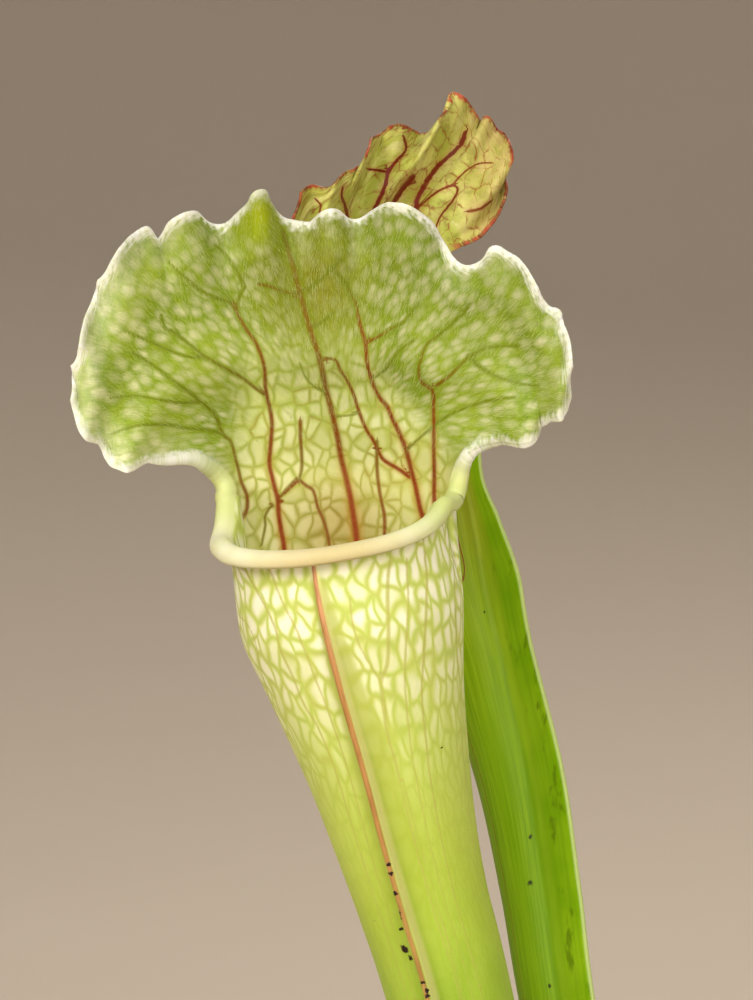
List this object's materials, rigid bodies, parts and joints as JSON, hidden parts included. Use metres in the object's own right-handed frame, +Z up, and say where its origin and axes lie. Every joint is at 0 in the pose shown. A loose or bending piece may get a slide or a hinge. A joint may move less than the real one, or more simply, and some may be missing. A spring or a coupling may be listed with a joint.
{
  "type": "potted pitcher plant",
  "caption": "Potted pitcher plant: a tall white-veined pitcher with a wide ruffled hood, a second behind it, small leaves, rhizome and mix in a round pot.",
  "frame": {"origin": "middle of the pot's flat underside, on the surface it stands on", "axes": "+Z up; the pitchers' mouths look mainly towards -Y, the tall pitchers lean towards -X"},
  "size_m": [0.1228, 0.11, 0.2868],
  "materials": {
    "pot_plastic": "matte, finely grained",
    "potting_mix": "rough, damp, fibrous",
    "rhizome_bark": "rough, scarred",
    "leaf_front": "satin, translucent, net veined",
    "leaf_rear": "satin, translucent",
    "leaf_young": "satin, translucent",
    "leaf_blade": "satin",
    "withered_leaf": "dry, papery",
    "bract": "thin, satin"
  },
  "bodies": {
    "root": {"pot": "pot_plastic", "potting_mix": "potting_mix", "rhizome": "rhizome_bark", "pitcher_front": "leaf_front", "pitcher_rear": "leaf_rear", "pitcher_young": "leaf_young", "phyllode_left": "leaf_blade", "phyllode_right": "leaf_blade", "old_leaf_base_left": "withered_leaf", "old_leaf_base_back": "withered_leaf", "bract_front": "bract"}
  },
  "joints": []
}
